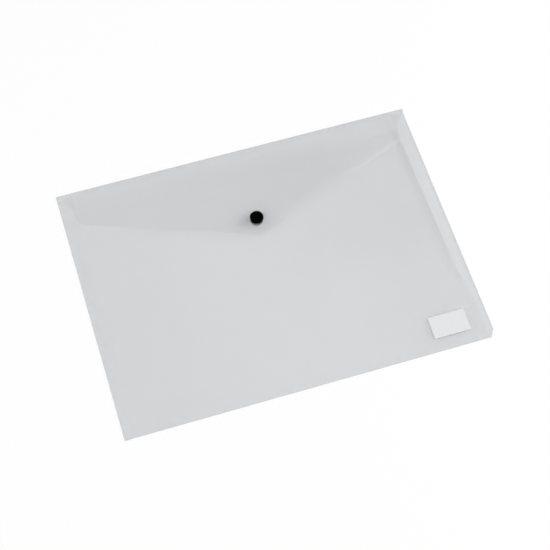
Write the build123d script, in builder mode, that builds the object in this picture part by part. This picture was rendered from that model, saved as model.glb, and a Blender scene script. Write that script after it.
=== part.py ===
# Document wallet for A4 papers: a plastic sheet folded to a pocket, with a pointed flap, a snap button
# and a small label pocket. Sizes are in millimetres.
# +X runs along the flap's fold, +Y points towards that fold and +Z up from the table.
# The origin is on the table, under the middle of the closed wallet.
from math import asin, atan2, degrees
import os

from build123d import *

# Whole wallet
wallet_width = 330.0
wallet_height = 242.0
sheet = 0.4
overrun = 5.0

# Pocket: bottom fold, front panel and its sloping sides
fold_radius = 1.4
pocket_height = 7.0
pocket_rise_length = 96.0
mouth_setback = 12.0
hem_width = 2.0
side_crease_inset = 12.7
corner_clip_width = 4.5
corner_clip_height = 7.2

# Flap, measured down from its fold
flap_clearance = 0.2
flap_side_inset = 12.2
flap_taper_length = 14.7
flap_corner_depth = 33.5
flap_tip_depth = 93.0
flap_tip_radius = 10.0
flap_corner_radius = 6.0

# Snap button
snap_tip_margin = 17.5
snap_land = 11.0
cap_diameter = 12.2
cap_height = 2.5
cap_crown = 0.35
cap_edge_radius = 0.8
post_diameter = 3.6
post_clearance = 0.2
flare_height = 0.4
flare_width = 0.5
flare_clearance = 0.05
stud_diameter = 11.0
stud_flange = 0.9
knob_diameter = 5.6
neck_diameter = 5.0
knob_height = 1.5
knob_clearance = 0.15
socket_diameter = 11.0
socket_height = 2.2
socket_base = 0.75
socket_gap = 0.2
socket_skirt = 0.7
collar_wall = 0.7
collar_recess = 0.25
collar_slots = 4
collar_slot_width = 0.6
rivet_head_diameter = 11.0
rivet_head_height = 1.2
rivet_edge_radius = 0.5

# Label card and its pocket, on the lower part of the front panel
card_width = 33.0
card_height = 20.0
card_thickness = 0.25
card_clearance = 0.06
card_right_margin = 19.0
card_bottom_margin = 12.0
film = 0.2
film_border = 2.4
film_mouth_overlap = 1.0

# Places that follow from the sizes above
half_width = wallet_width / 2
bottom_y = -wallet_height / 2
fold_y = wallet_height / 2
pocket_root_y = bottom_y + fold_radius
pocket_root_top = 2 * fold_radius
mouth_y = fold_y - mouth_setback
crease_radius = (pocket_height + flap_clearance + sheet) / 2
flap_root_y = fold_y - crease_radius
flap_root_top = 2 * crease_radius

stud_top = pocket_height + stud_flange
knob_top = stud_top + knob_height
socket_bottom = stud_top + socket_gap
flap_under = socket_bottom + socket_height
flap_top = flap_under + sheet
cap_top = flap_top + cap_height
snap_depth = flap_tip_depth - snap_tip_margin
snap_y = fold_y - snap_depth
snap_axis = Axis((0, snap_y, 0), (0, 0, 1))
snap_plane = Plane.XZ.offset(-snap_y)
post_radius = post_diameter / 2
post_hole_radius = post_radius + post_clearance
flare_radius = post_radius + flare_width

os.makedirs("parts", exist_ok=True)


def rise_radius(rise, rise_length):
    # Radius at mid sheet of each of the two equal arcs that climb by rise over rise_length
    return (rise_length**2 + rise**2) / (4 * rise)


def rising_edge(start, heading, radius_change, rise, rise_length, end_y):
    # One face of a sheet seen from the side: two tangent arcs upwards, then level to end_y
    turn = heading * degrees(2 * atan2(rise, rise_length))
    mid_radius = rise_radius(rise, rise_length)
    low = JernArc(start, (heading, 0), mid_radius - radius_change, turn)
    high = JernArc(low @ 1, low % 1, mid_radius + radius_change, -turn)
    level = Line(high @ 1, (end_y, start[1] + rise))
    return low @ 0, level @ 1


def rising_sheet(root_y, root_top, heading, rise, rise_length, end_y):
    # Closed side view of a sheet that leaves a fold level and climbs to run on level above it
    upper = rising_edge((root_y, root_top), heading, sheet / 2, rise, rise_length, end_y)
    lower = rising_edge((root_y, root_top - sheet), heading, -sheet / 2, rise, rise_length, end_y)
    Line(upper[0], lower[0])
    Line(upper[1], lower[1])


def fold_ring(root_y, radius, start_angle):
    # Closed side view of a sheet bent round half a turn
    outer = CenterArc((root_y, radius), radius, start_angle, 180)
    inner = CenterArc((root_y, radius), radius - sheet, start_angle, 180)
    Line(outer @ 0, inner @ 0)
    Line(outer @ 1, inner @ 1)


def slope_plane(side):
    # Outer face of a sloping side: from the hem on the back panel up to the crease beside the front panel
    foot = (side * (half_width - hem_width), 0, sheet)
    outwards = (side * (pocket_height - sheet), 0, side_crease_inset - hem_width)
    return Plane(origin=foot, x_dir=(0, 1, 0), z_dir=outwards)


def trim_at_sides():
    # Ends the part being built where it meets the inner faces of the two sloping sides
    for side in (-1, 1):
        split(bisect_by=slope_plane(side).offset(-sheet), keep=Keep.BOTTOM)


# Plan of the lower right corner, which is cut off all the layers there
clip_x = half_width - corner_clip_width
clip_y = bottom_y + corner_clip_height
with BuildSketch() as corner_clip:
    with BuildLine():
        Polyline(
            (clip_x, bottom_y),
            (clip_x, bottom_y - overrun),
            (half_width + overrun, bottom_y - overrun),
            (half_width + overrun, clip_y),
            (half_width, clip_y),
            close=True,
        )
    make_face()

# Back panel, flat on the table between the two folds
with BuildPart() as back_panel:
    with BuildSketch():
        with Locations((0, (pocket_root_y + flap_root_y) / 2)):
            Rectangle(wallet_width, flap_root_y - pocket_root_y)
    extrude(amount=sheet)
    extrude(corner_clip.sketch, amount=pocket_height, mode=Mode.SUBTRACT)
back_panel.part.label = "back_panel"
export_step(back_panel.part, "parts/back_panel.step")

# Bottom fold, between the two sloping sides
with BuildPart() as bottom_fold:
    with BuildSketch(Plane.YZ):
        with BuildLine():
            fold_ring(pocket_root_y, fold_radius, 90)
        make_face()
    extrude(amount=half_width, both=True)
    trim_at_sides()
    extrude(corner_clip.sketch, amount=pocket_height, mode=Mode.SUBTRACT)
bottom_fold.part.label = "bottom_fold"
export_step(bottom_fold.part, "parts/bottom_fold.step")

# Front panel, which swells from the bottom fold to a level stretch below the mouth
pocket_rise = pocket_height - pocket_root_top
with BuildPart() as front_panel:
    with BuildSketch(Plane.YZ):
        with BuildLine():
            rising_sheet(pocket_root_y, pocket_root_top, 1, pocket_rise, pocket_rise_length, mouth_y)
        make_face()
    extrude(amount=half_width, both=True)
    trim_at_sides()
    with Locations((0, snap_y, pocket_height)):
        Hole(post_hole_radius)
front_panel.part.label = "front_panel"
export_step(front_panel.part, "parts/front_panel.step")

# Sloping side walls and the welded hems outside them, which run on past the mouth to the flap's fold
for side_name, side in (("left", -1), ("right", 1)):
    with BuildPart() as gusset:
        with BuildSketch(Plane.YZ):
            with BuildLine():
                upper = rising_edge(
                    (pocket_root_y, pocket_root_top),
                    1,
                    sheet / 2,
                    pocket_rise,
                    pocket_rise_length,
                    flap_root_y,
                )
                CenterArc((pocket_root_y, fold_radius), fold_radius, 90, 180)
                Polyline((pocket_root_y, 0), (flap_root_y, 0), upper[1])
            make_face()
        extrude(amount=side * half_width)
        split(bisect_by=Plane.XY.offset(sheet), keep=Keep.TOP)
        split(bisect_by=slope_plane(side), keep=Keep.BOTTOM)
        split(bisect_by=slope_plane(side).offset(-sheet), keep=Keep.TOP)
        if side > 0:
            extrude(corner_clip.sketch, amount=pocket_height, mode=Mode.SUBTRACT)
    gusset.part.label = f"{side_name}_gusset"
    export_step(gusset.part, f"parts/{side_name}_gusset.step")

    with BuildPart() as weld_hem:
        with BuildSketch(Plane.YZ.offset(side * (half_width - hem_width))):
            with BuildLine():
                Polyline(
                    (bottom_y, 0),
                    (pocket_root_y, 0),
                    (pocket_root_y, sheet),
                    (flap_root_y, sheet),
                    (flap_root_y, 2 * sheet),
                    (bottom_y, 2 * sheet),
                    close=True,
                )
            make_face()
        extrude(amount=side * hem_width)
        if side > 0:
            extrude(corner_clip.sketch, amount=pocket_height, mode=Mode.SUBTRACT)
    weld_hem.part.label = f"{side_name}_weld_hem"
    export_step(weld_hem.part, f"parts/{side_name}_weld_hem.step")

# Flap crease, the living hinge that the flap turns on
with BuildPart() as flap_crease:
    with BuildSketch(Plane.YZ):
        with BuildLine():
            fold_ring(flap_root_y, crease_radius, -90)
        make_face()
    extrude(amount=half_width, both=True)
flap_crease.part.label = "flap_crease"
export_step(flap_crease.part, "parts/flap_crease.step")

# Flap: a sheet that climbs to the snap, cut to a point in plan
flap_half_width = half_width - flap_side_inset
flap_tip_y = fold_y - flap_tip_depth
flap_corner_y = fold_y - flap_corner_depth
flap_rise = flap_top - flap_root_top
flap_rise_length = snap_depth - crease_radius - snap_land
with BuildPart() as flap:
    with BuildSketch(Plane.YZ):
        with BuildLine():
            rising_sheet(flap_root_y, flap_root_top, -1, flap_rise, flap_rise_length, flap_tip_y)
        make_face()
    extrude(amount=half_width, both=True)
    with BuildSketch() as flap_plan:
        with BuildLine():
            Polyline(
                (0, flap_tip_y),
                (flap_half_width, flap_corner_y),
                (flap_half_width, flap_root_y - flap_taper_length),
                (half_width, flap_root_y),
                (-half_width, flap_root_y),
                (-flap_half_width, flap_root_y - flap_taper_length),
                (-flap_half_width, flap_corner_y),
                close=True,
            )
        make_face()
        tip, corners = flap_plan.vertices().group_by(Axis.Y)[:2]
        fillet(tip, flap_tip_radius)
        fillet(corners, flap_corner_radius)
    extrude(amount=cap_top, mode=Mode.INTERSECT)
    with Locations((0, snap_y, flap_top)):
        Hole(post_hole_radius)
flap.part.label = "flap"
export_step(flap.part, "parts/flap.step")

# Snap cap on the flap: a crowned button whose post is flared inside the socket
cap_radius = cap_diameter / 2
crown_radius = (cap_radius**2 + cap_crown**2) / (2 * cap_crown)
cap_post_end = flap_under - socket_base
with BuildPart() as snap_cap:
    with BuildSketch(snap_plane) as cap_profile:
        with BuildLine():
            crown = CenterArc(
                (0, cap_top - crown_radius), crown_radius, 90, -degrees(asin(cap_radius / crown_radius))
            )
            Polyline(
                crown @ 1,
                (cap_radius, flap_top),
                (post_radius, flap_top),
                (post_radius, cap_post_end + flare_height),
                (flare_radius, cap_post_end),
                (0, cap_post_end),
                crown @ 0,
            )
        make_face()
        fillet(cap_profile.vertices().group_by(Axis.X)[-1].sort_by(Axis.Y)[-1], cap_edge_radius)
    revolve(axis=snap_axis)
snap_cap.part.label = "snap_cap"
export_step(snap_cap.part, "parts/snap_cap.step")

# Snap socket under the flap: a skirt round a slotted collar that grips the knob
socket_radius = socket_diameter / 2
skirt_radius = socket_radius - socket_skirt
grip_radius = knob_diameter / 2 + knob_clearance
collar_radius = grip_radius + collar_wall
collar_bottom = socket_bottom + collar_recess
with BuildPart() as snap_socket:
    with BuildSketch(snap_plane):
        with BuildLine():
            Polyline(
                (post_radius + flare_clearance, flap_under),
                (socket_radius, flap_under),
                (socket_radius, socket_bottom),
                (skirt_radius, socket_bottom),
                (skirt_radius, cap_post_end),
                (collar_radius, cap_post_end),
                (collar_radius, collar_bottom),
                (grip_radius, collar_bottom),
                (grip_radius, cap_post_end),
                (flare_radius + flare_clearance, cap_post_end),
                (post_radius + flare_clearance, cap_post_end + flare_height),
                close=True,
            )
        make_face()
    revolve(axis=snap_axis)
    with BuildSketch(Plane.XY.offset(socket_bottom)):
        with Locations((0, snap_y)):
            with PolarLocations((grip_radius + collar_radius) / 2, collar_slots):
                Rectangle(2 * collar_wall, collar_slot_width)
    extrude(amount=cap_post_end - socket_bottom, mode=Mode.SUBTRACT)
snap_socket.part.label = "snap_socket"
export_step(snap_socket.part, "parts/snap_socket.step")

# Snap stud on the front panel: a flange with the round knob that the socket clips over
stud_radius = stud_diameter / 2
neck_radius = neck_diameter / 2
with BuildPart() as snap_stud:
    with BuildSketch(snap_plane):
        with BuildLine():
            ThreePointArc(
                (neck_radius, stud_top),
                (knob_diameter / 2, stud_top + knob_height / 2),
                (neck_radius, knob_top),
            )
            Polyline(
                (neck_radius, knob_top),
                (flare_radius + flare_clearance, knob_top),
                (post_radius + flare_clearance, knob_top - flare_height),
                (post_radius + flare_clearance, pocket_height),
                (stud_radius, pocket_height),
                (stud_radius, stud_top),
                (neck_radius, stud_top),
            )
        make_face()
    revolve(axis=snap_axis)
snap_stud.part.label = "snap_stud"
export_step(snap_stud.part, "parts/snap_stud.step")

# Snap rivet: its head is inside the pocket, and its post is flared in the top of the knob
rivet_head_radius = rivet_head_diameter / 2
rivet_head_top = pocket_height - sheet
rivet_head_bottom = rivet_head_top - rivet_head_height
with BuildPart() as snap_rivet:
    with BuildSketch(snap_plane) as rivet_profile:
        with BuildLine():
            Polyline(
                (0, rivet_head_bottom),
                (rivet_head_radius, rivet_head_bottom),
                (rivet_head_radius, rivet_head_top),
                (post_radius, rivet_head_top),
                (post_radius, knob_top - flare_height),
                (flare_radius, knob_top),
                (0, knob_top),
                close=True,
            )
        make_face()
        fillet(rivet_profile.vertices().group_by(Axis.X)[-1].sort_by(Axis.Y)[0], rivet_edge_radius)
    revolve(axis=snap_axis)
snap_rivet.part.label = "snap_rivet"
export_step(snap_rivet.part, "parts/snap_rivet.step")

# Label card and its pocket follow the hollow of the front panel's lower arc
panel_radius = rise_radius(pocket_rise, pocket_rise_length) - sheet / 2
panel_centre = (pocket_root_y, pocket_root_top + panel_radius)


def panel_strip(near_y, far_y, low, high):
    # Closed side view of a layer on the front panel, low to high above it, near to far from the root
    near_angle = degrees(asin(near_y / panel_radius))
    far_angle = degrees(asin(far_y / panel_radius))
    under = CenterArc(panel_centre, panel_radius - low, near_angle - 90, far_angle - near_angle)
    over = CenterArc(panel_centre, panel_radius - high, near_angle - 90, far_angle - near_angle)
    Line(under @ 0, over @ 0)
    Line(under @ 1, over @ 1)


card_right = half_width - card_right_margin
card_left = card_right - card_width
card_near = card_bottom_margin - fold_radius
card_far = card_near + card_height
slot_height = card_thickness + 2 * card_clearance
film_right = card_right + film_mouth_overlap
film_left = card_left - card_clearance - film_border

with BuildPart() as label_card:
    with BuildSketch(Plane.YZ.offset(card_left)):
        with BuildLine():
            panel_strip(card_near, card_far, card_clearance, card_clearance + card_thickness)
        make_face()
    extrude(amount=card_width)
label_card.part.label = "label_card"
export_step(label_card.part, "parts/label_card.step")

# The pocket film is welded along its left, upper and lower borders and open to the right
with BuildPart() as label_pocket:
    with BuildSketch(Plane.YZ.offset(film_left)):
        with BuildLine():
            panel_strip(card_near - film_border, card_far + film_border, 0, slot_height + film)
        make_face()
    extrude(amount=film_right - film_left)
    with BuildSketch(Plane.YZ.offset(card_left - card_clearance)):
        with BuildLine():
            panel_strip(card_near - card_clearance, card_far + card_clearance, 0, slot_height)
        make_face()
    extrude(amount=card_width + film_mouth_overlap + overrun, mode=Mode.SUBTRACT)
label_pocket.part.label = "label_pocket"
export_step(label_pocket.part, "parts/label_pocket.step")
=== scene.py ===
import math

import bmesh
import bpy
from mathutils import Matrix, Vector


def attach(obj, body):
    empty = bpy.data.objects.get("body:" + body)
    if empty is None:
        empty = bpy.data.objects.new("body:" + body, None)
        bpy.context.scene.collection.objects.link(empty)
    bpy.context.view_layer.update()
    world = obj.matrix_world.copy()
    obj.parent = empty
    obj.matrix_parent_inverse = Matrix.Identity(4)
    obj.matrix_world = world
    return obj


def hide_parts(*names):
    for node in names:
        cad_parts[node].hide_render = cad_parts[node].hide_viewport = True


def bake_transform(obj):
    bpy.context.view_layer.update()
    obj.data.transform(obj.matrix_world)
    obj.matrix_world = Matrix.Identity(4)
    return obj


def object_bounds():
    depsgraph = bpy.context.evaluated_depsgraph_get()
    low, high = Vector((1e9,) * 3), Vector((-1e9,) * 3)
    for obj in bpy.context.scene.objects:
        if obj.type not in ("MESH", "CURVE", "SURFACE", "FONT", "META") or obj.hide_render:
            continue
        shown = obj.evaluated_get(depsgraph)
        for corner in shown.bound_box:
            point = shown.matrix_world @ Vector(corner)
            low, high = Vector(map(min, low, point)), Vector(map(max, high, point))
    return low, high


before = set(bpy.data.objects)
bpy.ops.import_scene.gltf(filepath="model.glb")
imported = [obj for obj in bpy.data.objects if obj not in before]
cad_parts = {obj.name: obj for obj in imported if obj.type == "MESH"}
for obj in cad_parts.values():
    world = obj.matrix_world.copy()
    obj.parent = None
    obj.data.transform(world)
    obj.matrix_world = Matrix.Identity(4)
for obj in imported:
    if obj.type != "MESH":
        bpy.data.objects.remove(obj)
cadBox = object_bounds()
scene = bpy.context.scene
mm = 0.001
boxLow, boxHigh = [[round(c / mm, 1) for c in corner] for corner in cadBox]  # its curves are faceted
print("frame loaded, CAD box in mm", boxLow, boxHigh)

# Sizes that several pieces share, the outer ones from the frame
wallet = {
    "halfWidth": boxHigh[0],
    "bottomY": boxLow[1],
    "foldY": boxHigh[1],
    "foldRadius": 3.8,
    "sheet": 0.4,
    "snapX": 0.0,
    "snapY": 45.5,
    "snapHole": 2.0,
    "hardAngle": 38.0,
}
wallet["hingeY"] = wallet["foldY"] - wallet["foldRadius"]


# Shared helpers, one job each
def clamp01(t):
    return max(0.0, min(1.0, t))


def smoothStep(t):
    t = clamp01(t)
    return t * t * (3 - 2 * t)


def ramp(value, span):
    start, length = span
    return smoothStep((value - start) / length)


def twoArcs(t):  # climb of a sheet that leaves level and arrives level
    t = clamp01(t)
    return 2 * t * t if t < 0.5 else 1 - 2 * (1 - t) ** 2


def lerp(a, b, t):
    return a + (b - a) * t


def spread(a, b, count):  # count steps from a to b, both ends in
    return [lerp(a, b, i / count) for i in range(count + 1)]


def meshObject(name, verts, faces, edges=()):
    mesh = bpy.data.meshes.new(name)
    mesh.from_pydata([(x * mm, y * mm, z * mm) for x, y, z in verts], edges, faces)
    mesh.update()
    piece = bpy.data.objects.new(name, mesh)
    scene.collection.objects.link(piece)
    return piece


def gridObject(name, rows):  # rows of equal length; faces look up where columns run +X and rows run -Y
    wide = len(rows[0])
    verts = [point for row in rows for point in row]
    faces = []
    for r in range(len(rows) - 1):
        for c in range(wide - 1):
            a = r * wide + c
            faces.append((a, a + wide, a + wide + 1, a + 1))
    return meshObject(name, verts, faces)


def applyModifiers(piece):
    depsgraph = bpy.context.evaluated_depsgraph_get()
    mesh = bpy.data.meshes.new_from_object(piece.evaluated_get(depsgraph))
    mesh.name = piece.name
    piece.modifiers.clear()
    piece.data = mesh


def thicken(piece, thickness):  # the wall grows inwards, away from where the faces look
    wall = piece.modifiers.new("wall", "SOLIDIFY")
    wall.thickness = thickness * mm
    wall.offset = -1
    wall.use_even_offset = True
    applyModifiers(piece)


def recalcNormals(piece):
    bm = bmesh.new()
    bm.from_mesh(piece.data)
    bmesh.ops.recalc_face_normals(bm, faces=bm.faces)
    bm.to_mesh(piece.data)
    bm.free()


def sharpen(piece, angle):  # smooth faces, hard edges where the piece is cut or folded sharply
    bm = bmesh.new()
    bm.from_mesh(piece.data)
    for face in bm.faces:
        face.smooth = True
    for edge in bm.edges:
        edge.smooth = len(edge.link_faces) == 2 and edge.calc_face_angle() < math.radians(angle)
    bm.to_mesh(piece.data)
    bm.free()


def drillSnapHole(piece, low, high, steps=40):
    radius = wallet["snapHole"] * mm
    bm = bmesh.new()
    bmesh.ops.create_cone(
        bm, cap_ends=True, segments=steps, radius1=radius, radius2=radius, depth=(high - low) * mm
    )
    place = (wallet["snapX"] * mm, wallet["snapY"] * mm, (low + high) / 2 * mm)
    bmesh.ops.translate(bm, verts=bm.verts, vec=place)
    mesh = bpy.data.meshes.new("drill")
    bm.to_mesh(mesh)
    bm.free()
    drill = bpy.data.objects.new("drill", mesh)
    scene.collection.objects.link(drill)
    cut = piece.modifiers.new("hole", "BOOLEAN")
    cut.operation = "DIFFERENCE"
    cut.solver = "EXACT"
    cut.object = drill
    applyModifiers(piece)
    bpy.data.objects.remove(drill)


def paint(piece, material):
    piece.data.materials.clear()
    piece.data.materials.append(material)


def pointAttribute(piece, name, rule):  # rule: (x, y, z) in millimetres -> value
    attribute = piece.data.attributes.new(name, "FLOAT", "POINT")
    for vertex, item in zip(piece.data.vertices, attribute.data):
        item.value = rule(*(c / mm for c in vertex.co))


# Shader helpers
def newGroup(name, inputs, outputs):
    group = bpy.data.node_groups.new(name, "ShaderNodeTree")
    for label, value in inputs:
        socket = group.interface.new_socket(name=label, in_out="INPUT", socket_type="NodeSocketFloat")
        socket.default_value = value
    for label in outputs:
        group.interface.new_socket(name=label, in_out="OUTPUT", socket_type="NodeSocketFloat")
    start = group.nodes.new("NodeGroupInput")
    end = group.nodes.new("NodeGroupOutput")
    return group, start, end


def node(tree, kind, **settings):  # a setting is a property of the node, or else one of its inputs
    made = tree.nodes.new(kind)
    for key, value in settings.items():
        if key in made.bl_rna.properties:
            setattr(made, key, value)
        else:
            made.inputs[key.replace("_", " ")].default_value = value
    return made


def mathNode(tree, operation, first, second, clamp=False):
    made = tree.nodes.new("ShaderNodeMath")
    made.operation = operation
    made.use_clamp = clamp
    for slot, value in zip(made.inputs, (first, second)):
        if isinstance(value, (int, float)):
            slot.default_value = value
        else:
            tree.links.new(value, slot)
    return made.outputs[0]


def mapRange(tree, value, low, high):
    made = tree.nodes.new("ShaderNodeMapRange")
    tree.links.new(value, made.inputs["Value"])
    made.inputs["To Min"].default_value = low
    made.inputs["To Max"].default_value = high
    return made.outputs["Result"]


def mixColours(tree, factor, first, second):
    made = tree.nodes.new("ShaderNodeMix")
    made.data_type = "RGBA"
    tree.links.new(factor, made.inputs["Factor"])
    for name, value in (("A", first), ("B", second)):
        slot = [s for s in made.inputs if s.name == name and s.type == "RGBA"][0]
        if isinstance(value, tuple):
            slot.default_value = (*value, 1)
        else:
            tree.links.new(value, slot)
    return [s for s in made.outputs if s.type == "RGBA"][0]


def attributeMask(tree, name):
    return node(tree, "ShaderNodeAttribute", attribute_name=name).outputs["Fac"]


# Mould grain: fine matt grain of rolled or moulded plastic, with slow clouds in it
grainPattern = {
    "grainScale": 2600.0,
    "grainDetail": 2.0,
    "cloudScale": 14.0,
    "cloudDetail": 3.0,
    "roughness": 0.55,
}


def mouldGrainGroup():
    scales = [("Grain Scale", grainPattern["grainScale"]), ("Cloud Scale", grainPattern["cloudScale"])]
    group, start, end = newGroup("mouldGrain", scales, ["Grain", "Cloud"])
    place = node(group, "ShaderNodeTexCoord")
    for label, detail in (("Grain", grainPattern["grainDetail"]), ("Cloud", grainPattern["cloudDetail"])):
        noise = node(group, "ShaderNodeTexNoise", Detail=detail, Roughness=grainPattern["roughness"])
        group.links.new(place.outputs["Object"], noise.inputs["Vector"])
        group.links.new(start.outputs[label + " Scale"], noise.inputs["Scale"])
        group.links.new(noise.outputs["Fac"], end.inputs[label])
    return group


# Handling marks: hair scratches in two directions, thinned out by a slow mask
markPattern = {
    "scale": 60.0,
    "amount": 0.5,
    "runs": ((0.42, 26.0), (-0.9, 34.0)),  # turn in radians, squeeze across the scratch
    "detail": 1.0,
    "roughness": 0.4,
    "lineLevel": 0.5,
    "lineWidth": 0.012,
    "maskScale": 22.0,
    "maskLevel": 0.53,
}


def handlingMarksGroup():
    inputs = [("Mark Scale", markPattern["scale"]), ("Amount", markPattern["amount"])]
    group, start, end = newGroup("handlingMarks", inputs, ["Marks"])
    place = node(group, "ShaderNodeTexCoord")
    detail = markPattern["detail"]
    mark = None
    for turn, squeeze in markPattern["runs"]:
        mapping = node(group, "ShaderNodeMapping", Rotation=(0, 0, turn), Scale=(1, squeeze, 1))
        group.links.new(place.outputs["Object"], mapping.inputs["Vector"])
        noise = node(group, "ShaderNodeTexNoise", Detail=detail, Roughness=markPattern["roughness"])
        group.links.new(mapping.outputs["Vector"], noise.inputs["Vector"])
        group.links.new(start.outputs["Mark Scale"], noise.inputs["Scale"])
        line = mathNode(group, "COMPARE", noise.outputs["Fac"], markPattern["lineLevel"])
        line.node.inputs[2].default_value = markPattern["lineWidth"]
        mark = line if mark is None else mathNode(group, "MAXIMUM", mark, line)
    mask = node(group, "ShaderNodeTexNoise", Scale=markPattern["maskScale"], Detail=detail)
    group.links.new(place.outputs["Object"], mask.inputs["Vector"])
    thin = mathNode(group, "GREATER_THAN", mask.outputs["Fac"], markPattern["maskLevel"])
    shown = mathNode(group, "MULTIPLY", mathNode(group, "MULTIPLY", mark, thin), start.outputs["Amount"])
    group.links.new(shown, end.inputs["Marks"])
    return group


mouldGrain = mouldGrainGroup()
handlingMarks = handlingMarksGroup()


# Steps that the finishes share, each with its own dictionary
def newMaterial(name):
    material = bpy.data.materials.new(name)
    material.use_nodes = True
    tree = material.node_tree
    return material, tree, tree.nodes["Principled BSDF"]


def placeGroup(tree, group, **values):
    made = tree.nodes.new("ShaderNodeGroup")
    made.node_tree = group
    for key, value in values.items():
        made.inputs[key.replace("_", " ")].default_value = value
    return made


def placeGrain(tree, finish):
    grain = placeGroup(
        tree, mouldGrain, Grain_Scale=finish["grainScale"], Cloud_Scale=finish["cloudScale"]
    )
    return grain.outputs["Grain"], grain.outputs["Cloud"]


def placeMarks(tree, finish):
    marks = placeGroup(tree, handlingMarks, Mark_Scale=finish["markScale"], Amount=finish["markAmount"])
    return marks.outputs["Marks"]


def roughBetween(tree, pattern, finish):
    return mapRange(tree, pattern, finish["roughLow"], finish["roughHigh"])


def addBump(tree, shader, height, finish):
    bump = node(tree, "ShaderNodeBump", Strength=finish["bump"], Distance=finish["bumpHeight"] * mm)
    tree.links.new(height, bump.inputs["Height"])
    tree.links.new(bump.outputs["Normal"], shader.inputs["Normal"])


# Frosted sheet: each face of a sheet hides part of what is below it, and the sheets hardly shade each other
frost = {
    "colour": (0.574, 0.590, 0.606),
    "cloudColour": (0.594, 0.610, 0.624),
    # grey for greyer tone and for painted shade, mixed in where an attribute asks
    "greyAndShadeColour": (0.28, 0.30, 0.33),
    "highlightColour": (0.80, 0.815, 0.83),
    "alphaLow": 0.300,
    "alphaHigh": 0.345,
    "lightShare": 0.10,
    "roughLow": 0.36,
    "roughHigh": 0.52,
    "grainScale": 2400.0,
    "cloudScale": 11.0,
    "markScale": 42.0,
    "markAmount": 0.35,
    "markRough": 0.2,
    "markDepth": 0.8,
    "bump": 0.18,
    "bumpHeight": 0.03,
    "ior": 1.49,
}


def letLightThrough(tree, shader, alpha):  # alpha hides what the eye sees and holds back far less light
    path = node(tree, "ShaderNodeLightPath")
    light = mathNode(tree, "ADD", path.outputs["Is Shadow Ray"], path.outputs["Is Diffuse Ray"], True)
    kept = mathNode(tree, "ADD", mathNode(tree, "MULTIPLY", light, frost["lightShare"] - 1), 1.0)
    tree.links.new(mathNode(tree, "MULTIPLY", alpha, kept), shader.inputs["Alpha"])


def frostedMaterial():
    material, tree, shader = newMaterial("frostedSheet")
    grain, cloud = placeGrain(tree, frost)
    marks = placeMarks(tree, frost)
    colour = mixColours(tree, cloud, frost["colour"], frost["cloudColour"])
    # grey by attribute: partly greyer tone, partly painted shade in the crease and painted shadow below the
    # flap's point and round the snap
    colour = mixColours(tree, attributeMask(tree, "greyAndPaintedShade"), colour, frost["greyAndShadeColour"])
    # painted highlight mixed in along the flap's right edge
    colour = mixColours(tree, attributeMask(tree, "paintedHighlight"), colour, frost["highlightColour"])
    tree.links.new(colour, shader.inputs["Base Color"])
    alpha = mapRange(tree, cloud, frost["alphaLow"], frost["alphaHigh"])
    kept = mapRange(tree, attributeMask(tree, "thinFrost"), 1.0, 0.0)
    letLightThrough(tree, shader, mathNode(tree, "MULTIPLY", alpha, kept))
    scuffed = mathNode(tree, "MULTIPLY", marks, frost["markRough"])
    rough = mathNode(tree, "ADD", roughBetween(tree, grain, frost), scuffed, True)
    tree.links.new(rough, shader.inputs["Roughness"])
    scored = mathNode(tree, "MULTIPLY", marks, frost["markDepth"])
    addBump(tree, shader, mathNode(tree, "SUBTRACT", grain, scored), frost)
    shader.inputs["IOR"].default_value = frost["ior"]
    return material


# Black snap: hard plastic, worn a little along its scratches
snapFinish = {
    "colour": (0.0007, 0.0007, 0.0008),
    "wornColour": (0.004, 0.004, 0.0045),
    "gloss": 0.014,
    "roughLow": 0.22,
    "roughHigh": 0.34,
    "grainScale": 5200.0,
    "cloudScale": 160.0,
    "markScale": 520.0,
    "markAmount": 0.5,
    "bump": 0.10,
    "bumpHeight": 0.02,
}


def snapMaterial():
    material, tree, shader = newMaterial("snapPlastic")
    grain, cloud = placeGrain(tree, snapFinish)
    marks = placeMarks(tree, snapFinish)
    colour = mixColours(tree, marks, snapFinish["colour"], snapFinish["wornColour"])
    tree.links.new(colour, shader.inputs["Base Color"])
    tree.links.new(roughBetween(tree, cloud, snapFinish), shader.inputs["Roughness"])
    addBump(tree, shader, grain, snapFinish)
    shader.inputs["Specular IOR Level"].default_value = snapFinish["gloss"]
    return material


# Label film: clear, thin and shiny, greyer along its weld
filmFinish = {
    "colour": (0.70, 0.71, 0.72),
    "weldColour": (0.40, 0.41, 0.42),
    "alpha": 0.05,
    "weldAlpha": 0.09,
    "roughLow": 0.12,
    "roughHigh": 0.3,
    "markScale": 150.0,
    "markAmount": 0.4,
    "bump": 0.1,
    "bumpHeight": 0.02,
}


def filmMaterial():
    material, tree, shader = newMaterial("labelFilm")
    marks = placeMarks(tree, filmFinish)
    seam = attributeMask(tree, "weldShade")
    colour = mixColours(tree, seam, filmFinish["colour"], filmFinish["weldColour"])
    tree.links.new(colour, shader.inputs["Base Color"])
    letLightThrough(tree, shader, mapRange(tree, seam, filmFinish["alpha"], filmFinish["weldAlpha"]))
    tree.links.new(roughBetween(tree, marks, filmFinish), shader.inputs["Roughness"])
    addBump(tree, shader, marks, filmFinish)
    return material


# Label card: matt white paper with a little fibre
paperFinish = {
    "colour": (0.74, 0.755, 0.765),
    "fibreColour": (0.79, 0.80, 0.81),
    "roughLow": 0.72,
    "roughHigh": 0.92,
    "grainScale": 1800.0,
    "cloudScale": 240.0,
    "bump": 0.25,
    "bumpHeight": 0.04,
}


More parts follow.
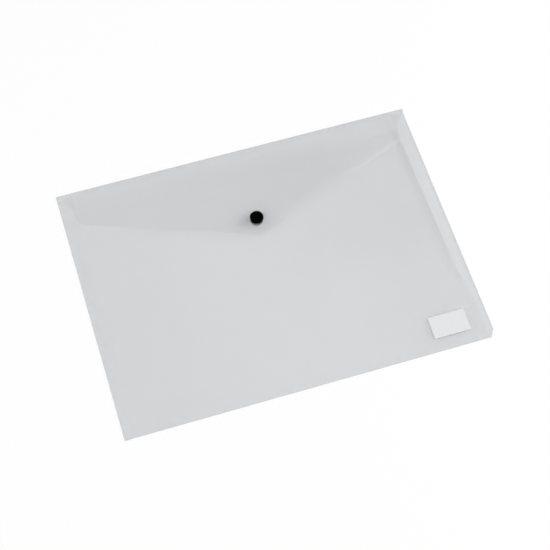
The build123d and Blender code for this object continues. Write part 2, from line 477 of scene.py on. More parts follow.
def paperMaterial():
    material, tree, shader = newMaterial("labelPaper")
    grain, cloud = placeGrain(tree, paperFinish)
    colour = mixColours(tree, cloud, paperFinish["colour"], paperFinish["fibreColour"])
    tree.links.new(colour, shader.inputs["Base Color"])
    tree.links.new(roughBetween(tree, grain, paperFinish), shader.inputs["Roughness"])
    addBump(tree, shader, grain, paperFinish)
    return material


frostedSheet = frostedMaterial()
snapPlastic = snapMaterial()
labelFilm = filmMaterial()
labelPaper = paperMaterial()
print("materials made")


# Pocket: one sheet that runs from the mouth down the front, round the bottom fold and up the back
pocket = {
    "mouthSetback": 12.0,
    "earSetback": 4.0,
    "earReach": 11.0,
    "rootTop": 2.8,
    "rise": 4.2,
    "riseLength": 96.0,
    "hemWidth": 2.0,
    "hemTop": 0.83,
    "creaseInset": 12.7,
    "swayRight": 1.6,
    "swaySpan": (-40.0, 120.0),
    "ridge": 0.34,
    "ridgeSpan": (-75.0, 60.0),
    "ridgeAtMouth": 0.08,
    "ridgeFallSpan": (55.0, 30.0),
    "ridgeReach": 10.0,
    "slopeBow": 0.035,
    "clipWidth": 4.5,
    "clipHeight": 7.2,
    "holeLow": 5.0,
    "holeHigh": 9.0,
    "hemShares": (0.0, 0.5),
    "slopeSteps": 10,
    "edgeColumns": (0.5, 1.1, 1.9, 2.9, 4.1, 5.6, 7.4, 9.6, 12.0),  # distances in from a crease
    "panelSteps": 74,
    "frontSteps": 84,
    "foldSteps": 12,
    "backSteps": 40,
}
pocket["rootY"] = wallet["bottomY"] + pocket["rootTop"] / 2
pocket["top"] = pocket["rootTop"] + pocket["rise"]
pocket["mouthY"] = wallet["foldY"] - pocket["mouthSetback"]
pocket["earY"] = wallet["foldY"] - pocket["earSetback"]
pocket["footX"] = wallet["halfWidth"] - pocket["hemWidth"]
pocket["creaseX"] = wallet["halfWidth"] - pocket["creaseInset"]
pocket["edgeWidth"] = pocket["edgeColumns"][-1]

# Slow waves of the front panel, calm beside the snap, the label and the bottom fold
waves = {
    "height": 0.072,
    "first": (47.0, 90.0, 0.6),  # length across, length along, start of the sine
    "second": (-75.0, 38.0, 2.1),
    "secondShare": 0.7,
    "snapSpan": (14.0, 40.0),
    "labelX": 129.0,
    "labelY": -99.0,
    "labelHalfX": 18.0,
    "labelHalfY": 12.0,
    "labelFade": 25.0,
    "bottomSpan": (-119.0, 40.0),
}


def panelTop(y):  # front panel's upper face, away from its creases
    return pocket["rootTop"] + pocket["rise"] * twoArcs((y - pocket["rootY"]) / pocket["riseLength"])


def creaseAt(y, side):  # how far a crease is from the middle; the right one sways in towards the flap
    climb = (panelTop(y) - wallet["sheet"]) / (pocket["top"] - wallet["sheet"])
    x = pocket["footX"] - climb * (pocket["footX"] - pocket["creaseX"])
    if side > 0:
        x -= pocket["swayRight"] * ramp(y, pocket["swaySpan"])
    return x


def ridgeAt(y):  # how far the crease stands above the panel
    fall = ramp(y, pocket["ridgeFallSpan"])
    return ramp(y, pocket["ridgeSpan"]) * lerp(pocket["ridge"], pocket["ridgeAtMouth"], fall)


def calmAt(x, y):  # 0 beside the snap and the label, 1 on the free panel
    fromSnap = math.hypot(x - wallet["snapX"], y - wallet["snapY"])
    acrossLabel = max(abs(x - waves["labelX"]) - waves["labelHalfX"], 0)
    alongLabel = max(abs(y - waves["labelY"]) - waves["labelHalfY"], 0)
    fromLabel = math.hypot(acrossLabel, alongLabel)
    calm = ramp(fromSnap, waves["snapSpan"]) * smoothStep(fromLabel / waves["labelFade"])
    return calm * ramp(y, waves["bottomSpan"])


def waveAt(x, y):
    heights = []
    for across, along, start in (waves["first"], waves["second"]):
        heights.append(math.sin(x / across + y / along + start))
    return waves["height"] * (heights[0] + waves["secondShare"] * heights[1]) * calmAt(x, y)


def pocketColumns():
    # (zone, side, place): the place is a share of the zone, or on an edge the distance in from the crease
    left = [("hem", -1, t) for t in pocket["hemShares"]]
    left += [("slope", -1, t) for t in spread(0, 1, pocket["slopeSteps"])]
    left += [("edge", -1, d) for d in pocket["edgeColumns"]]
    middle = [("panel", 0, t) for t in spread(0, 1, pocket["panelSteps"])[1:-1]]
    right = [(zone, 1, t) for zone, side, t in reversed(left)]
    return left + middle + right


def frontPoint(column, y):
    zone, side, t = column
    foot = pocket["footX"]
    if zone == "hem":
        return side * lerp(wallet["halfWidth"], foot, t), pocket["hemTop"]
    ridge = ridgeAt(y)
    if zone == "slope":
        climb = t + pocket["slopeBow"] * math.sin(math.pi * t)
        top = panelTop(y) + ridge
        return side * lerp(foot, creaseAt(y, side), t), lerp(pocket["hemTop"], top, climb)
    width = pocket["edgeWidth"]
    if zone == "edge":
        x = side * (creaseAt(y, side) - t)
        lift = ridge * (1 - smoothStep(t / pocket["ridgeReach"]))
        return x, panelTop(y) + lift + waveAt(x, y) * smoothStep(t / width)
    x = lerp(width - creaseAt(y, -1), creaseAt(y, 1) - width, t)
    return x, panelTop(y) + waveAt(x, y)


def mouthAt(column):  # the mouth is scooped: beside the creases the sheet runs on up to the flap's fold
    zone, side, t = column
    if zone in ("hem", "slope"):
        return pocket["earY"]
    if zone == "edge":
        return lerp(pocket["earY"], pocket["mouthY"], smoothStep(t / pocket["earReach"]))
    return pocket["mouthY"]


def pocketRows():
    columns = pocketColumns()
    roots = [frontPoint(column, pocket["rootY"]) for column in columns]
    bottom = wallet["bottomY"]
    rows = []
    for v in spread(0, 1, pocket["frontSteps"]):  # front, from the mouth to the bottom fold
        row = []
        for column, (rootX, rootTop) in zip(columns, roots):
            y = lerp(mouthAt(column), bottom + rootTop / 2, v)
            x, z = frontPoint(column, y)
            row.append((x, y, z))
        rows.append(row)
    for turn in spread(0, math.pi, pocket["foldSteps"])[1:]:  # bottom fold
        rows.append([
            (x, bottom + top / 2 * (1 - math.sin(turn)), top / 2 * (1 + math.cos(turn))) for x, top in roots
        ])
    for v in spread(0, 1, pocket["backSteps"])[1:]:  # back, flat on the table
        rows.append([(x, lerp(bottom + top / 2, wallet["hingeY"], v), 0.0) for x, top in roots])
    return rows


def clipCorner(piece):  # lower right corner
    right, bottom = wallet["halfWidth"], wallet["bottomY"]
    low = Vector(((right - pocket["clipWidth"]) * mm, bottom * mm, 0))
    high = Vector((right * mm, (bottom + pocket["clipHeight"]) * mm, 0))
    outwards = (high - low).cross(Vector((0, 0, 1)))
    bm = bmesh.new()
    bm.from_mesh(piece.data)
    cut = bmesh.ops.bisect_plane(
        bm, geom=bm.verts[:] + bm.edges[:] + bm.faces[:], plane_co=low, plane_no=outwards, clear_outer=True
    )
    edges = [part for part in cut["geom_cut"] if isinstance(part, bmesh.types.BMEdge)]
    bmesh.ops.triangle_fill(bm, edges=edges, use_beauty=True)
    bmesh.ops.recalc_face_normals(bm, faces=bm.faces)
    bm.to_mesh(piece.data)
    bm.free()


# Flap: the crease and the pointed flap are one sheet that bends at the hinge
flap = {
    "sideInset": 12.2,
    "taper": 18.5,
    "cornerDepth": 33.5,
    "cornerRadius": 6.0,
    "tipDepth": 93.0,
    "tipRadius": 10.0,
    "rise": 3.1,
    "riseLength": 60.7,
    "sideShare": 0.10,
    "levelX": 9.0,
    "fallX": 150.0,
    "clear": 0.06,
    "clearLength": 8.0,
    "holeLow": 9.0,
    "holeHigh": 12.0,
    "columnRuns": ((5.0, 8), (147.0, 56), (151.5, 7)),  # end of a run and its steps, from the middle out
    "lastColumns": (152.1, 152.45, 152.68),
    "creaseSteps": 22,
    "flapSteps": 52,
}
flap["sideX"] = wallet["halfWidth"] - flap["sideInset"]
flap["cornerY"] = wallet["foldY"] - flap["cornerDepth"]
flap["tipY"] = wallet["foldY"] - flap["tipDepth"]


def flapEdge(x):  # lower edge of the flap in plan, at a distance x from its middle
    slope = math.atan2(flap["cornerY"] - flap["tipY"], flap["sideX"])
    tip = flap["tipRadius"]
    if x < tip * math.sin(slope):
        return flap["tipY"] + tip / math.cos(slope) - math.sqrt(tip * tip - x * x)
    corner = flap["cornerRadius"]
    reach = corner / math.tan((math.pi / 2 + slope) / 2)
    centre = (flap["sideX"] - corner, flap["cornerY"] + reach)
    if x > flap["sideX"] - reach * math.cos(slope):
        return centre[1] - math.sqrt(max(corner * corner - (x - centre[0]) ** 2, 0))
    return flap["tipY"] + x * math.tan(slope)


def flapInset(x, y):  # how far a place is above the flap's lower edge
    return y - flapEdge(min(abs(x), flap["sideX"]))


def flapTop(x, y):
    out = wallet["hingeY"] - y
    climb = flap["rise"] * twoArcs(out / flap["riseLength"])
    away = clamp01((abs(x) - flap["levelX"]) / flap["fallX"])
    share = lerp(flap["sideShare"], 1, math.cos(away * math.pi / 2) ** 2)
    clear = flap["clear"] * smoothStep(out / flap["clearLength"])
    return 2 * wallet["foldRadius"] + climb * share + clear


def flapShares():  # columns, closer together round the tip and the corners
    half = [0.0]
    for end, steps in flap["columnRuns"]:
        half += spread(half[-1], end, steps)[1:]
    half += [*flap["lastColumns"], flap["sideX"]]
    half = [x / flap["sideX"] for x in half]
    return [-s for s in reversed(half[1:])] + half


def flapHalfWidth(y):
    return lerp(wallet["halfWidth"], flap["sideX"], clamp01((wallet["foldY"] - y) / flap["taper"]))


def flapRows():
    shares = flapShares()
    radius = wallet["foldRadius"]
    rows = []
    for turn in spread(0, math.pi, flap["creaseSteps"]):  # crease, from the back panel up and over
        y = wallet["hingeY"] + radius * math.sin(turn)
        half = wallet["halfWidth"] if turn < math.pi / 2 else flapHalfWidth(y)
        rows.append([(s * half, y, radius * (1 - math.cos(turn))) for s in shares])
    for v in spread(0, 1, flap["flapSteps"])[1:]:
        row = []
        for s in shares:
            y = lerp(wallet["hingeY"], flapEdge(abs(s * flap["sideX"])), v)
            x = s * flapHalfWidth(y)
            row.append((x, y, flapTop(x, y)))
        rows.append(row)
    return rows


# Tones round the snap, on the front panel and the flap alike, with a painted shadow
snapTone = {
    "lowZ": 4.0,
    "haloX": -4.0,
    "haloY": 45.8,
    "haloReachX": 14.0,
    "haloReachY": 7.5,
    "haloShare": 0.52,
    "pressSpan": (6.0, 1.8),
    "pressShare": 0.75,
}


def snapGreyAndShadow(x, y, z):  # grey round the snap: partly the black snap seen through the frost, partly a painted shadow cast to its left
    across = (x - snapTone["haloX"]) / snapTone["haloReachX"]
    along = (y - snapTone["haloY"]) / snapTone["haloReachY"]
    return snapTone["haloShare"] * math.exp(-across ** 2 - along ** 2) if z > snapTone["lowZ"] else 0.0


def snapThin(x, y, z):  # pressed on the snap, the sheet shows less frost
    away = math.hypot(x - wallet["snapX"], y - wallet["snapY"])
    pressed = 1 - ramp(away, snapTone["pressSpan"])
    return snapTone["pressShare"] * pressed if z > snapTone["lowZ"] else 0.0


# Tones of the pocket: where its frost looks greyer or thinner than on the free sheet, the grey partly
# painted shade
pocketTone = {
    "lowZ": 1.5,
    "frontLowZ": 4.0,
    "slopeSpan": (50.0, 50.0),
    "slopeShare": 0.16,
    "stripEdge": 0.6,
    "stripFull": 2.0,
    "stripFadeLow": 3.0,
    "stripFadeHigh": 8.0,
    "stripSpan": (-125.0, 130.0),
    "stripShare": 0.24,
    "stripTopSpan": (30.0, 60.0),
    "stripTopShare": 0.21,
    "sideSpan": (40.0, 90.0),
    "sideShare": 0.09,
    "rightSpan": (-5.0, 55.0),
    "upperSpan": (-50.0, 60.0),
    "upperRightShare": 0.11,
    "underSpan": (-125.0, 40.0),
    "underEndSpan": (-24.0, 14.0),
    "underLapSpan": (-3.0, 2.0),
    "underReach": 12.0,
    "underShare": 0.11,
    "mouthSpan": (95.0, 14.0),
    "mouthShare": 0.92,
}


def underFlapShadow(x, y):  # painted shadow of the flap's edge: soft grey on the panel below the left side of the flap's point
    below = -flapInset(x, y)
    edge = ramp(below, pocketTone["underLapSpan"]) * (1 - smoothStep(below / pocketTone["underReach"]))
    run = ramp(x, pocketTone["underSpan"]) * (1 - ramp(x, pocketTone["underEndSpan"]))
    return pocketTone["underShare"] * edge * run


def creaseShadeStrip(y, inside):  # painted shade just inside the right crease, darker and wider towards the flap
    edge = pocketTone["stripEdge"]
    grown = ramp(y, pocketTone["stripSpan"])
    fade = lerp(pocketTone["stripFadeLow"], pocketTone["stripFadeHigh"], grown)
    strip = smoothStep((inside + edge) / (2 * edge)) * (1 - ramp(inside, (pocketTone["stripFull"], fade)))
    upper = pocketTone["stripTopShare"] * ramp(y, pocketTone["stripTopSpan"])
    return strip * (pocketTone["stripShare"] * grown + upper)


def pocketGreyAndShade(x, y, z):
    if z < pocketTone["lowZ"]:
        return 0.0
    inside = creaseAt(y, 1) - x
    # painted shade on the slope outside the right crease, heavier towards the mouth
    if inside < -pocketTone["stripEdge"]:
        return pocketTone["slopeShare"] * ramp(y, pocketTone["slopeSpan"])
    side = pocketTone["sideShare"] * ramp(abs(x), pocketTone["sideSpan"])
    right = ramp(x, pocketTone["rightSpan"]) * ramp(y, pocketTone["upperSpan"])
    free = side + pocketTone["upperRightShare"] * right
    return clamp01(creaseShadeStrip(y, inside) + free + underFlapShadow(x, y) + snapGreyAndShadow(x, y, z))


def pocketThin(x, y, z):  # the frost thins out towards the mouth, so that its edge hardly shows
    if z < pocketTone["frontLowZ"] or abs(x) > creaseAt(y, 1):
        return 0.0
    return max(pocketTone["mouthShare"] * ramp(y, pocketTone["mouthSpan"]), snapThin(x, y, z))


# Tones of the flap
flapTone = {
    "foldSpan": (96.0, 14.0),
    "foldShare": 0.19,
    "gapSpan": (98.5, 6.0),
    "gapEndSpan": (107.0, 6.0),
    "gapShare": 0.09,
    "foldEndSpan": (147.0, 5.0),
    "cornerSpan": (161.0, 2.0),
    "cornerRiseSpan": (116.5, 1.2),
    "cornerShare": 0.8,
    "freeSpan": (-120.0, 120.0),
    "freeShare": 0.10,
    "pointReach": 13.0,
    "pointSpan": (6.0, 34.0),
    "pointShare": 0.62,
    "farSpan": (62.0, 70.0),
    "farShare": 0.48,
    "highlightReach": 6.5,
    "highlightSpan": (78.0, 30.0),
    "highlightShare": 0.75,
}


def flapGreyAndShade(x, y, z):  # greyer at the fold, over the gap below it, at the lower turn of its corners and towards the right; painted shadow round the snap
    fold = ramp(y, flapTone["foldSpan"])
    gap = ramp(y, flapTone["gapSpan"]) * (1 - ramp(y, flapTone["gapEndSpan"]))
    band = flapTone["foldShare"] * fold + flapTone["gapShare"] * gap
    band *= 1 - ramp(abs(x), flapTone["foldEndSpan"])
    corner = 0.0
    if z <= wallet["foldRadius"]:
        corner = ramp(abs(x), flapTone["cornerSpan"]) * ramp(y, flapTone["cornerRiseSpan"])
    free = flapTone["freeShare"] * ramp(x, flapTone["freeSpan"]) * (1 - fold)
    return clamp01(band + flapTone["cornerShare"] * corner + free + snapGreyAndShadow(x, y, z))


def flapThin(x, y, z):  # clearer along the right side of the point and towards the right
    point = flapTone["pointShare"] * (1 - smoothStep(flapInset(x, y) / flapTone["pointReach"]))
    point *= ramp(x, flapTone["pointSpan"])
    far = flapTone["farShare"] * ramp(x, flapTone["farSpan"]) * (1 - ramp(y, flapTone["foldSpan"]))
    return max(1 - (1 - point) * (1 - far), snapThin(x, y, z))


def flapPaintedHighlight(x, y, z):  # painted highlight along the cut edge near the right corner
    rim = 1 - smoothStep(flapInset(x, y) / flapTone["highlightReach"])
    return flapTone["highlightShare"] * rim * ramp(x, flapTone["highlightSpan"])


# Both sheets, now that the pocket knows the flap's outline
pocketSheet = gridObject("pocketSheet", pocketRows())
thicken(pocketSheet, wallet["sheet"])
clipCorner(pocketSheet)
drillSnapHole(pocketSheet, pocket["holeLow"], pocket["holeHigh"])
pointAttribute(pocketSheet, "greyAndPaintedShade", pocketGreyAndShade)
pointAttribute(pocketSheet, "thinFrost", pocketThin)
sharpen(pocketSheet, wallet["hardAngle"])
paint(pocketSheet, frostedSheet)
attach(pocketSheet, "pocket")
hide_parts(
    "back_panel", "bottom_fold", "front_panel", "left_gusset", "right_gusset",
    "left_weld_hem", "right_weld_hem",
)
print("pocket sheet", len(pocketSheet.data.polygons), "faces")

flapSheet = gridObject("flapSheet", flapRows())
thicken(flapSheet, wallet["sheet"])
drillSnapHole(flapSheet, flap["holeLow"], flap["holeHigh"])
pointAttribute(flapSheet, "greyAndPaintedShade", flapGreyAndShade)
pointAttribute(flapSheet, "thinFrost", flapThin)
pointAttribute(flapSheet, "paintedHighlight", flapPaintedHighlight)
sharpen(flapSheet, wallet["hardAngle"])
paint(flapSheet, frostedSheet)
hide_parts("flap", "flap_crease")
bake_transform(flapSheet)
print("flap sheet", len(flapSheet.data.polygons), "faces")


# Snap: cap and socket on the flap, stud and rivet on the front panel
snap = {
    "fit": 0.05,
    "postRadius": 1.8,
    "flareRadius": 2.3,
    "flareHeight": 0.4,
    "capRadius": 6.1,
    "capTop": boxHigh[2],
    "capCrown": 0.35,
    "capEdge": 0.8,
    "capChamfer": 0.25,
    "capSeat": 10.7,
    "capPostEnd": 9.55,
    "studRadius": 5.5,
    "studTop": 7.9,
    "studChamfer": 0.25,
    "studFootChamfer": 0.2,
    "neckRadius": 2.5,
    "neckFillet": 0.15,
    "knobRadius": 2.8,
    "knobTop": 9.4,
    "rivetRadius": 5.5,
    "rivetBottom": 5.4,
    "rivetEdge": 0.5,
    "arcSteps": 8,
    "headSteps": 6,
    "turnSteps": 72,
    "bevel": 0.12,
    "bevelSteps": 3,
    "bevelAngle": 32.0,
    "hardAngle": 45.0,
}


def turnedPiece(name, profile):  # profile: (radius, height) pairs, from the axis and back, or a closed ring
    steps = snap["turnSteps"]
    verts = []
    rings = []
    for radius, height in profile:
        if radius == 0:
            rings.append([len(verts)] * steps)
            verts.append((wallet["snapX"], wallet["snapY"], height))
            continue
        rings.append(list(range(len(verts), len(verts) + steps)))
        for k in range(steps):
            turn = 2 * math.pi * k / steps
            x = wallet["snapX"] + radius * math.cos(turn)
            verts.append((x, wallet["snapY"] + radius * math.sin(turn), height))
    if profile[0][0] > 0:
        rings.append(rings[0])
    faces = []
    for low, high in zip(rings, rings[1:]):
        for k in range(steps):
            n = (k + 1) % steps
            corners = [low[k], low[n], high[n], high[k]]
            faces.append(tuple(dict.fromkeys(corners)))
    piece = meshObject(name, verts, faces)
    recalcNormals(piece)
    edge = piece.modifiers.new("edge", "BEVEL")
    edge.width = snap["bevel"] * mm
    edge.segments = snap["bevelSteps"]
    edge.limit_method = "ANGLE"
    edge.angle_limit = math.radians(snap["bevelAngle"])
    applyModifiers(piece)
    sharpen(piece, snap["hardAngle"])
    return piece


def capProfile():
    s = snap
    shoulder = s["capTop"] - s["capCrown"]
    points = [(0, s["capPostEnd"]), (s["flareRadius"], s["capPostEnd"])]
    points += [(s["postRadius"], s["capPostEnd"] + s["flareHeight"]), (s["postRadius"], s["capSeat"])]
    points += [(s["capRadius"] - s["capChamfer"], s["capSeat"])]
    points += [(s["capRadius"], s["capSeat"] + s["capChamfer"])]
    inner = s["capRadius"] - s["capEdge"]
    rim = shoulder - s["capEdge"]
    for turn in spread(0, math.pi / 2, s["arcSteps"]):  # rounded rim
        points.append((inner + s["capEdge"] * math.cos(turn), rim + s["capEdge"] * math.sin(turn)))
    for t in spread(1, 0, s["arcSteps"])[1:]:  # low crown
        points.append((inner * t, shoulder + s["capCrown"] * (1 - t * t)))
    return points


def studProfile():
    s = snap
    seat = pocket["top"]
    bore = s["postRadius"] + s["fit"]
    points = [(bore, seat), (s["studRadius"] - s["studFootChamfer"], seat)]
    points += [(s["studRadius"], seat + s["studFootChamfer"])]
    points += [(s["studRadius"], s["studTop"] - s["studChamfer"])]
    points += [(s["studRadius"] - s["studChamfer"], s["studTop"])]
    points += [(s["neckRadius"] + s["neckFillet"], s["studTop"])]
    for t in spread(0, 1, s["arcSteps"]):  # round knob
        bulge = (s["knobRadius"] - s["neckRadius"]) * math.sin(math.pi * t)
        points.append((s["neckRadius"] + bulge, lerp(s["studTop"], s["knobTop"], t)))
    points += [(s["flareRadius"] + s["fit"], s["knobTop"]), (bore, s["knobTop"] - s["flareHeight"])]
    return points


def rivetProfile():
    s = snap
    seat = pocket["top"] - wallet["sheet"]
    points = [(0, s["rivetBottom"])]
    inner = s["rivetRadius"] - s["rivetEdge"]
    for turn in spread(math.pi / 2, 0, s["headSteps"]):  # rounded head
        height = s["rivetBottom"] + s["rivetEdge"] * (1 - math.sin(turn))
        points.append((inner + s["rivetEdge"] * math.cos(turn), height))
    points += [(s["rivetRadius"], seat), (s["postRadius"], seat)]
    points += [(s["postRadius"], s["knobTop"] - s["flareHeight"]), (s["flareRadius"], s["knobTop"])]
    points += [(0, s["knobTop"])]
    return points


for name, profile, body, replaced in (
    ("snapCap", capProfile(), "flap", "snap_cap"),
    ("snapStud", studProfile(), "pocket", "snap_stud"),
    ("snapRivet", rivetProfile(), "pocket", "snap_rivet"),
):
    turned = turnedPiece(name, profile)
    paint(turned, snapPlastic)
    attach(turned, body)
    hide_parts(replaced)
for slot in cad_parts["snap_socket"].material_slots:  # the socket keeps its CAD shape
    slot.material = snapPlastic
print("snap made")


# Label: a paper card under a clear film that is welded on three sides
label = {
    "cardLeft": 113.0,
    "cardRight": 146.0,
    "cardLow": -109.0,
    "cardHigh": -89.0,
    "cardSheet": 0.25,
    "cardAcross": 24,
    "cardAlong": 16,
    "gap": 0.06,
    "border": 2.4,
    "overhang": 1.0,
    "film": 0.2,
    "filmLift": 0.37,
    "seat": 0.02,
    "liftSpan": (1.2, 1.15),
    "weldSpan": (0.9, 0.4),
    "weldEndSpan": (1.9, 0.5),
    "filmAcross": 120,
    "filmAlong": 82,
    "filmHardAngle": 50.0,
}
label["filmLeft"] = label["cardLeft"] - label["border"] - label["gap"]
label["filmRight"] = label["cardRight"] + label["overhang"]
label["filmLow"] = label["cardLow"] - label["border"]
label["filmHigh"] = label["cardHigh"] + label["border"]


def layOnPanel(name, kind, height):  # kind: which of the label's sizes to take, card or film
    across = spread(label[kind + "Left"], label[kind + "Right"], label[kind + "Across"])
    along = spread(label[kind + "High"], label[kind + "Low"], label[kind + "Along"])
    return gridObject(name, [[(x, y, panelTop(y) + height(x, y)) for x in across] for y in along])


def cardHeight(x, y):
    return label["gap"] + label["cardSheet"]


def filmInset(x, y):  # distance in from the nearest welded edge
    return min(x - label["filmLeft"], y - label["filmLow"], label["filmHigh"] - y)


def filmHeight(x, y):  # low on the welded border, lifted over the card
    lift = (label["filmLift"] - label["seat"]) * ramp(filmInset(x, y), label["liftSpan"])
    return label["seat"] + label["film"] + lift


def filmWeld(x, y, z):
    inset = filmInset(x, y)
    return ramp(inset, label["weldSpan"]) * (1 - ramp(inset, label["weldEndSpan"]))


labelCard = layOnPanel("labelCard", "card", cardHeight)
thicken(labelCard, label["cardSheet"])
sharpen(labelCard, wallet["hardAngle"])
paint(labelCard, labelPaper)
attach(labelCard, "label")
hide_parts("label_card")

labelPocket = layOnPanel("labelPocket", "film", filmHeight)
thicken(labelPocket, label["film"])
pointAttribute(labelPocket, "weldShade", filmWeld)
sharpen(labelPocket, label["filmHardAngle"])
paint(labelPocket, labelFilm)
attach(labelPocket, "pocket")
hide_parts("label_pocket")
print("label made")


# Welds: a bead along each hem and a row of spots round the film, made along a path by geometry nodes
weld = {
    "beadRadius": 0.16,
    "beadSides": 8,
    "beadInset": 1.4,
    "beadSink": 0.02,
    "beadLowGap": 1.0,
    "beadClipGap": 9.0,
    "beadHighGap": 4.8,
    "beadPieces": 60,
    "spotPitch": 1.3,
    "spotRadius": 0.3,
    "spotHeight": 0.28,
    "spotInset": 0.7,
    "spotDetail": 2,
    "seamPieces": 24,
    "hardAngle": 60.0,
}


def pathObject(name, runs):
    verts = []
    edges = []
    for run in runs:
        first = len(verts)
        verts += run
        edges += [(i, i + 1) for i in range(first, len(verts) - 1)]
    return meshObject(name, verts, [], edges)


def weldTree(name, inputs):  # from the path's edges to a realized mesh with its material
    tree = bpy.data.node_groups.new(name, "GeometryNodeTree")
    tree.interface.new_socket(name="Geometry", in_out="INPUT", socket_type="NodeSocketGeometry")
    ids = {}
    for title, kind in inputs:
        ids[title] = tree.interface.new_socket(name=title, in_out="INPUT", socket_type=kind).identifier
    tree.interface.new_socket(name="Geometry", in_out="OUTPUT", socket_type="NodeSocketGeometry")
    start = tree.nodes.new("NodeGroupInput")
    end = tree.nodes.new("NodeGroupOutput")
    curve = tree.nodes.new("GeometryNodeMeshToCurve")
    realize = tree.nodes.new("GeometryNodeRealizeInstances")
    finish = tree.nodes.new("GeometryNodeSetMaterial")
    tree.links.new(start.outputs["Geometry"], curve.inputs["Mesh"])
    tree.links.new(realize.outputs["Geometry"], finish.inputs["Geometry"])
    tree.links.new(start.outputs["Material"], finish.inputs["Material"])
    tree.links.new(finish.outputs["Geometry"], end.inputs["Geometry"])
    return tree, ids, start, curve, realize


def beadTree():
    tree, ids, start, curve, realize = weldTree(
        "weldBead",
        [("Radius", "NodeSocketFloat"), ("Steps", "NodeSocketInt"), ("Material", "NodeSocketMaterial")],
    )
    ring = tree.nodes.new("GeometryNodeCurvePrimitiveCircle")
    sweep = tree.nodes.new("GeometryNodeCurveToMesh")
    tree.links.new(start.outputs["Radius"], ring.inputs["Radius"])
    tree.links.new(start.outputs["Steps"], ring.inputs["Resolution"])
    tree.links.new(curve.outputs["Curve"], sweep.inputs["Curve"])
    tree.links.new(ring.outputs["Curve"], sweep.inputs["Profile Curve"])
    sweep.inputs["Fill Caps"].default_value = True
    tree.links.new(sweep.outputs["Mesh"], realize.inputs["Geometry"])
    return tree, ids


def spotTree():
    tree, ids, start, curve, realize = weldTree(
        "weldSpots",
        [("Pitch", "NodeSocketFloat"), ("Size", "NodeSocketVector"), ("Material", "NodeSocketMaterial")],
    )
    split = tree.nodes.new("GeometryNodeResampleCurve")
    split.mode = "LENGTH"
    spot = tree.nodes.new("GeometryNodeMeshIcoSphere")
    spot.inputs["Radius"].default_value = 1.0
    spot.inputs["Subdivisions"].default_value = weld["spotDetail"]
    dots = tree.nodes.new("GeometryNodeInstanceOnPoints")
    tree.links.new(curve.outputs["Curve"], split.inputs["Curve"])
    tree.links.new(start.outputs["Pitch"], split.inputs["Length"])
    tree.links.new(split.outputs["Curve"], dots.inputs["Points"])
    tree.links.new(spot.outputs["Mesh"], dots.inputs["Instance"])
    tree.links.new(start.outputs["Size"], dots.inputs["Scale"])
    tree.links.new(dots.outputs["Instances"], realize.inputs["Geometry"])
    return tree, ids


def runTree(piece, tree, values):
    maker = piece.modifiers.new("weld", "NODES")
    maker.node_group = tree
    for identifier, value in values.items():
        maker[identifier] = value
    applyModifiers(piece)
    recalcNormals(piece)
    sharpen(piece, weld["hardAngle"])


def hemRuns():  # the right bead starts above the clipped corner
    x = wallet["halfWidth"] - weld["beadInset"]
    z = pocket["hemTop"] - weld["beadSink"]
    low = wallet["bottomY"] + weld["beadLowGap"]
    high = wallet["foldY"] - weld["beadHighGap"]
    runs = []
    for side, startY in ((-1, low), (1, low + weld["beadClipGap"])):
        runs.append([(side * x, y, z) for y in spread(startY, high, weld["beadPieces"])])
    return runs


def seamRun():  # round the film's three welded sides, from its open end and back
    inset = weld["spotInset"]
    left = label["filmLeft"] + inset
    right = label["filmRight"] - inset
    low = label["filmLow"] + inset
    high = label["filmHigh"] - inset
    turns = [(right, high), (left, high), (left, low), (right, low)]
    run = []
    for (x0, y0), (x1, y1) in zip(turns, turns[1:]):
        for t in spread(0, 1, weld["seamPieces"])[(1 if run else 0):]:
            y = lerp(y0, y1, t)
            run.append((lerp(x0, x1, t), y, panelTop(y) + label["seat"] + label["film"]))
    return run


tree, ids = beadTree()
hemBeads = pathObject("hemBeads", hemRuns())
runTree(hemBeads, tree, {
    ids["Radius"]: weld["beadRadius"] * mm, ids["Steps"]: weld["beadSides"], ids["Material"]: frostedSheet,
})
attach(hemBeads, "pocket")

tree, ids = spotTree()
labelWeld = pathObject("labelWeld", [seamRun()])
spotSize = (weld["spotRadius"] * mm, weld["spotRadius"] * mm, weld["spotHeight"] / 2 * mm)
runTree(labelWeld, tree, {
    ids["Pitch"]: weld["spotPitch"] * mm, ids["Size"]: spotSize, ids["Material"]: labelFilm,
})
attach(labelWeld, "pocket")
print("welds made")


# Studio: white floor that keeps the shadow, even light, a soft key from the right; lamps in metres and watts
studio = {
    "floorSize": 8000.0,
    "floorDrop": 0.05,
    "floorColour": (0.985, 0.985, 0.985, 1),
    "floorGlow": 0.62,
    "white": (1, 1, 1, 1),
    "worldLight": 0.72,
    "keyEnergy": 12.5,
    "keyPlace": (1.5, -0.35, 1.25),
    "keySize": 1.3,
    "fillEnergy": 7.0,
    "fillPlace": (-1.5, 0.1, 1.3),
    "fillSize": 1.5,
    "sheetBounces": 32,  # light crosses up to six sheet faces, twice
}


def directLook(tree):  # 1 for rays that see the studio itself, straight or by reflection
    path = node(tree, "ShaderNodeLightPath")
    seen = mathNode(tree, "ADD", path.outputs["Is Camera Ray"], path.outputs["Is Glossy Ray"], True)
    return mathNode(tree, "ADD", seen, path.outputs["Is Transmission Ray"], True)


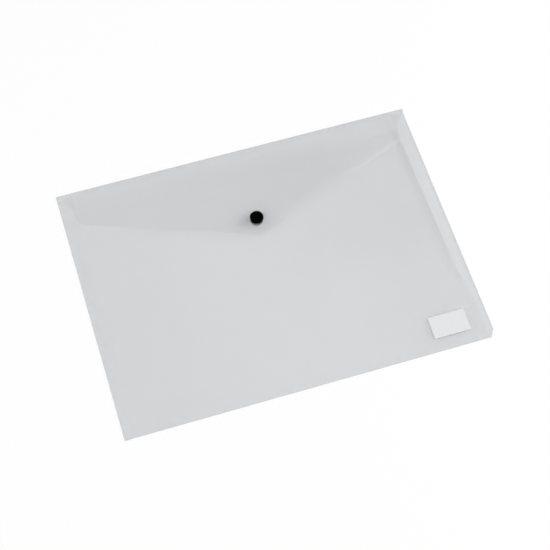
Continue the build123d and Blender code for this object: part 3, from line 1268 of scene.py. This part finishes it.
def buildFloor():
    half = studio["floorSize"] / 2
    corners = [(-half, -half), (half, -half), (half, half), (-half, half)]
    floor = meshObject("floor", [(x, y, -studio["floorDrop"]) for x, y in corners], [(0, 1, 2, 3)])
    material, tree, shader = newMaterial("floorWhite")
    tree.nodes.remove(shader)
    matt = node(tree, "ShaderNodeBsdfDiffuse", Color=studio["floorColour"])
    glow = node(tree, "ShaderNodeEmission", Color=studio["white"], Strength=1.0)
    blend = tree.nodes.new("ShaderNodeMixShader")
    tree.links.new(mathNode(tree, "MULTIPLY", directLook(tree), studio["floorGlow"]), blend.inputs["Fac"])
    tree.links.new(matt.outputs["BSDF"], blend.inputs[1])
    tree.links.new(glow.outputs["Emission"], blend.inputs[2])
    tree.links.new(blend.outputs["Shader"], tree.nodes["Material Output"].inputs["Surface"])
    paint(floor, material)


def buildWorld():
    world = bpy.data.worlds.new("studioWorld")
    scene.world = world
    world.use_nodes = True
    tree = world.node_tree
    back = tree.nodes["Background"]
    back.inputs["Color"].default_value = studio["white"]
    light = studio["worldLight"]
    look = mathNode(tree, "MULTIPLY", directLook(tree), 1 - light)
    tree.links.new(mathNode(tree, "ADD", look, light), back.inputs["Strength"])


def buildLamp(name):
    lamp = bpy.data.lights.new(name, "AREA")
    lamp.energy = studio[name + "Energy"]
    lamp.size = studio[name + "Size"]
    holder = bpy.data.objects.new(name, lamp)
    holder.location = studio[name + "Place"]
    holder.rotation_euler = (-holder.location).to_track_quat("-Z", "Y").to_euler()
    scene.collection.objects.link(holder)


# Camera of the photograph: places in metres, lens and sensor in millimetres, roll in degrees
view = {
    "place": (-0.19743, -0.57897, 1.16005),
    "aim": (0.00029, -0.00877, 0.00026),
    "roll": 1.996,
    "lens": 97.573,
    "sensor": 36.0,
    "near": 0.01,
}


def buildCamera():
    camera = bpy.data.cameras.new("camera")
    camera.lens = view["lens"]
    camera.sensor_width = view["sensor"]
    camera.clip_start = view["near"]
    holder = bpy.data.objects.new("camera", camera)
    place = Vector(view["place"])
    look = (Vector(view["aim"]) - place).to_track_quat("-Z", "Y").to_matrix().to_4x4()
    roll = Matrix.Rotation(math.radians(view["roll"]), 4, "Z")
    holder.matrix_world = Matrix.Translation(place) @ look @ roll
    scene.collection.objects.link(holder)
    scene.camera = holder


buildFloor()
buildWorld()
buildLamp("key")
buildLamp("fill")
buildCamera()
scene.view_settings.view_transform = "Standard"
scene.cycles.transparent_max_bounces = studio["sheetBounces"]
print("studio ready")
